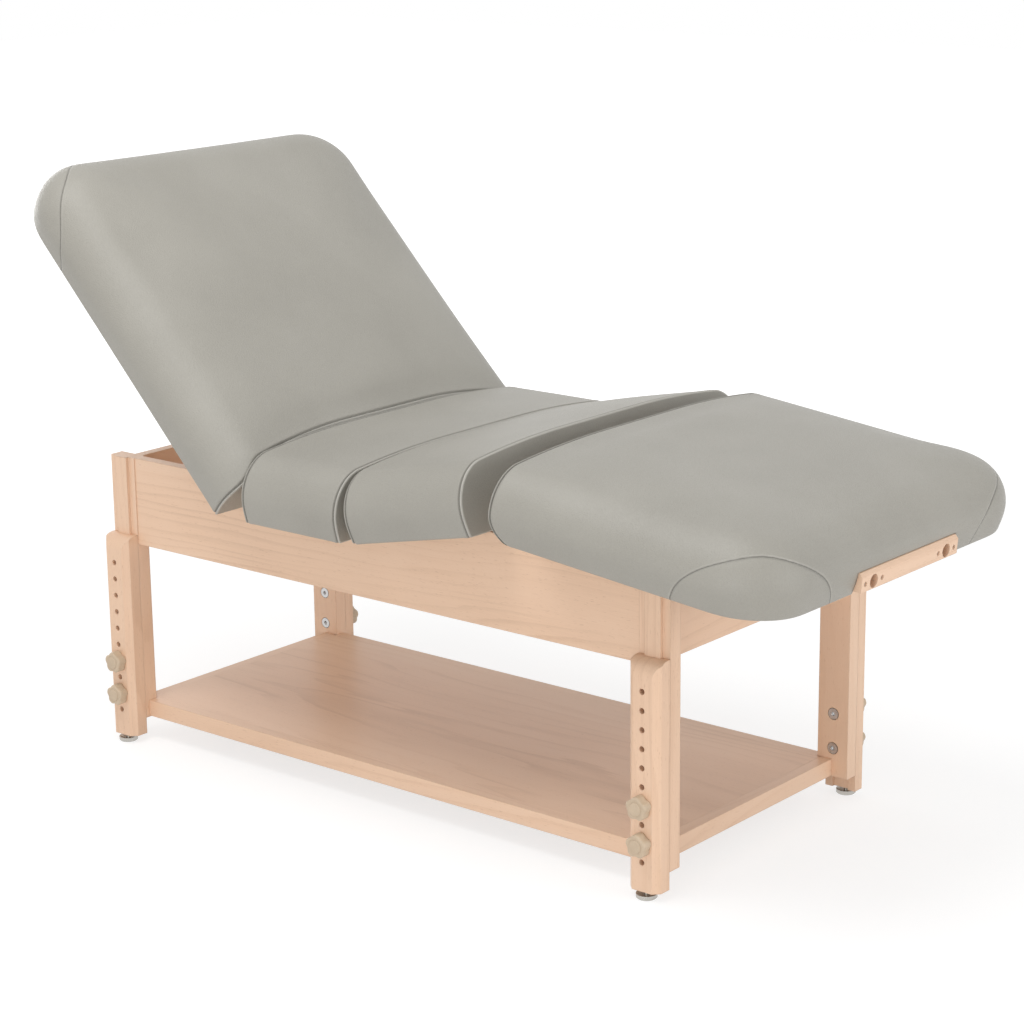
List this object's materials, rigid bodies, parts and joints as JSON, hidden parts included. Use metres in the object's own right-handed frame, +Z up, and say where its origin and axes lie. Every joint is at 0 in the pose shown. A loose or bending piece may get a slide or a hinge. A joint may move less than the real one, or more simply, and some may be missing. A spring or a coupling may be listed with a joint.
{
  "type": "stationary massage table",
  "caption": "Stationary massage table with a maple base, height-adjustable legs, a lower shelf and a padded top that lifts at the back and bends at the knee.",
  "frame": {"origin": "on the floor under the middle of the overall box at rest", "axes": "+X along the table towards the foot end, +Y across it, +Z up"},
  "size_m": [1.6484, 0.778, 1.0831],
  "materials": {
    "maple": "clear satin lacquer",
    "plywood": "plain",
    "upholstery": "matte grained vinyl over foam",
    "knob_plastic": "moulded",
    "nickel": "nickel plate",
    "bright_steel": "zinc plate",
    "hinge_steel": "black powder coat"
  },
  "bodies": {
    "base": {"back_cross_rail": "maple", "back_hinge_pins": "hinge_steel", "back_hinge_towers": "hinge_steel", "far_apron": "maple", "foot_apron": "maple", "foot_bearer": "maple", "foot_far_post": "maple", "foot_near_post": "maple", "head_apron": "maple", "head_far_post": "maple", "head_near_post": "maple", "height_bolts": "bright_steel", "near_apron": "maple", "prop_guides": "maple", "seat_cushion": "upholstery", "seat_panel": "plywood", "shelf_board": "maple", "shelf_far_rail": "maple", "shelf_foot_rail": "maple", "shelf_head_rail": "maple", "shelf_near_rail": "maple", "thigh_cross_rail": "maple", "thigh_hinge_pins": "hinge_steel", "thigh_hinge_towers": "hinge_steel"},
    "back_section": {"back_cushion": "upholstery", "back_hinge_ears": "hinge_steel", "back_panel": "plywood", "prop_brackets": "hinge_steel"},
    "back_prop": {"prop_arms": "maple", "prop_foot_bar": "maple"},
    "thigh_section": {"knee_pins": "hinge_steel", "knee_thigh_arms": "hinge_steel", "thigh_cushion": "upholstery", "thigh_hinge_ears": "hinge_steel", "thigh_panel": "plywood"},
    "leg_section": {"bar_screws": "bright_steel", "face_rest_bar": "maple", "knee_leg_arms": "hinge_steel", "leg_cushion": "upholstery", "leg_panel": "plywood", "leg_runners": "maple"},
    "foot_far_glide_body": {"foot_far_glide": "nickel"},
    "foot_far_leg_body": {"foot_far_leg": "maple"},
    "foot_far_lower_knob_body": {"foot_far_lower_knob": "knob_plastic"},
    "foot_far_upper_knob_body": {"foot_far_upper_knob": "knob_plastic"},
    "foot_near_glide_body": {"foot_near_glide": "nickel"},
    "foot_near_leg_body": {"foot_near_leg": "maple"},
    "foot_near_lower_knob_body": {"foot_near_lower_knob": "knob_plastic"},
    "foot_near_upper_knob_body": {"foot_near_upper_knob": "knob_plastic"},
    "head_far_glide_body": {"head_far_glide": "nickel"},
    "head_far_leg_body": {"head_far_leg": "maple"},
    "head_far_lower_knob_body": {"head_far_lower_knob": "knob_plastic"},
    "head_far_upper_knob_body": {"head_far_upper_knob": "knob_plastic"},
    "head_near_glide_body": {"head_near_glide": "nickel"},
    "head_near_leg_body": {"head_near_leg": "maple"},
    "head_near_lower_knob_body": {"head_near_lower_knob": "knob_plastic"},
    "head_near_upper_knob_body": {"head_near_upper_knob": "knob_plastic"},
    "knee_far_knob_body": {"knee_far_knob": "knob_plastic"},
    "knee_near_knob_body": {"knee_near_knob": "knob_plastic"}
  },
  "joints": [
    {"name": "back_lift", "type": "hinge", "parent": "base", "child": "back_section", "pos_m": [-0.3019, 0, 0.5866], "axis": [0, 1, 0], "range_deg": [-46.5, 10.5]},
    {"name": "prop_swing", "type": "hinge", "parent": "back_section", "child": "back_prop", "pos_m": [-0.45713, 0, 0.66741], "axis": [0, 1, 0], "range_deg": [-21, 93]},
    {"name": "knee_lift", "type": "hinge", "parent": "base", "child": "thigh_section", "pos_m": [-0.0394, 0, 0.6186], "axis": [0, -1, 0], "range_deg": [-12, 6]},
    {"name": "leg_follow", "type": "hinge", "parent": "thigh_section", "child": "leg_section", "pos_m": [0.2685, 0, 0.4759], "axis": [0, -1, 0], "range_deg": [-8.81, 17.61]},
    {"name": "head_near_height", "type": "slide", "parent": "base", "child": "head_near_leg_body", "axis": [0, 0, -1], "range_m": [-0.03175, 0.15875]},
    {"name": "head_near_upper_knob_turn", "type": "hinge", "parent": "base", "child": "head_near_upper_knob_body", "pos_m": [-0.6859, -0.318, 0.1595], "axis": [0, -1, 0], "continuous": true},
    {"name": "head_near_lower_knob_turn", "type": "hinge", "parent": "base", "child": "head_near_lower_knob_body", "pos_m": [-0.6859, -0.318, 0.096], "axis": [0, -1, 0], "continuous": true},
    {"name": "head_near_glide_turn", "type": "hinge", "parent": "head_near_leg_body", "child": "head_near_glide_body", "pos_m": [-0.6859, -0.2949, 0.004], "axis": [0, 0, 1], "continuous": true},
    {"name": "head_far_height", "type": "slide", "parent": "base", "child": "head_far_leg_body", "axis": [0, 0, -1], "range_m": [-0.03175, 0.15875]},
    {"name": "head_far_upper_knob_turn", "type": "hinge", "parent": "base", "child": "head_far_upper_knob_body", "pos_m": [-0.6859, 0.318, 0.1595], "axis": [0, 1, 0], "continuous": true},
    {"name": "head_far_lower_knob_turn", "type": "hinge", "parent": "base", "child": "head_far_lower_knob_body", "pos_m": [-0.6859, 0.318, 0.096], "axis": [0, 1, 0], "continuous": true},
    {"name": "head_far_glide_turn", "type": "hinge", "parent": "head_far_leg_body", "child": "head_far_glide_body", "pos_m": [-0.6859, 0.2949, 0.004], "axis": [0, 0, 1], "continuous": true},
    {"name": "foot_near_height", "type": "slide", "parent": "base", "child": "foot_near_leg_body", "axis": [0, 0, -1], "range_m": [-0.03175, 0.15875]},
    {"name": "foot_near_upper_knob_turn", "type": "hinge", "parent": "base", "child": "foot_near_upper_knob_body", "pos_m": [0.5301, -0.318, 0.1595], "axis": [0, -1, 0], "continuous": true},
    {"name": "foot_near_lower_knob_turn", "type": "hinge", "parent": "base", "child": "foot_near_lower_knob_body", "pos_m": [0.5301, -0.318, 0.096], "axis": [0, -1, 0], "continuous": true},
    {"name": "foot_near_glide_turn", "type": "hinge", "parent": "foot_near_leg_body", "child": "foot_near_glide_body", "pos_m": [0.5301, -0.2949, 0.004], "axis": [0, 0, 1], "continuous": true},
    {"name": "foot_far_height", "type": "slide", "parent": "base", "child": "foot_far_leg_body", "axis": [0, 0, -1], "range_m": [-0.03175, 0.15875]},
    {"name": "foot_far_upper_knob_turn", "type": "hinge", "parent": "base", "child": "foot_far_upper_knob_body", "pos_m": [0.5301, 0.318, 0.1595], "axis": [0, 1, 0], "continuous": true},
    {"name": "foot_far_lower_knob_turn", "type": "hinge", "parent": "base", "child": "foot_far_lower_knob_body", "pos_m": [0.5301, 0.318, 0.096], "axis": [0, 1, 0], "continuous": true},
    {"name": "foot_far_glide_turn", "type": "hinge", "parent": "foot_far_leg_body", "child": "foot_far_glide_body", "pos_m": [0.5301, 0.2949, 0.004], "axis": [0, 0, 1], "continuous": true},
    {"name": "knee_near_knob_turn", "type": "hinge", "parent": "thigh_section", "child": "knee_near_knob_body", "pos_m": [0.2685, -0.14, 0.4759], "axis": [0, -1, 0], "continuous": true},
    {"name": "knee_far_knob_turn", "type": "hinge", "parent": "thigh_section", "child": "knee_far_knob_body", "pos_m": [0.2685, 0.14, 0.4759], "axis": [0, 1, 0], "continuous": true}
  ],
  "couplings": [
    {"joint": "prop_swing", "follows": "back_lift", "ratio": -2},
    {"joint": "leg_follow", "follows": "knee_lift", "ratio": -1.4667}
  ]
}
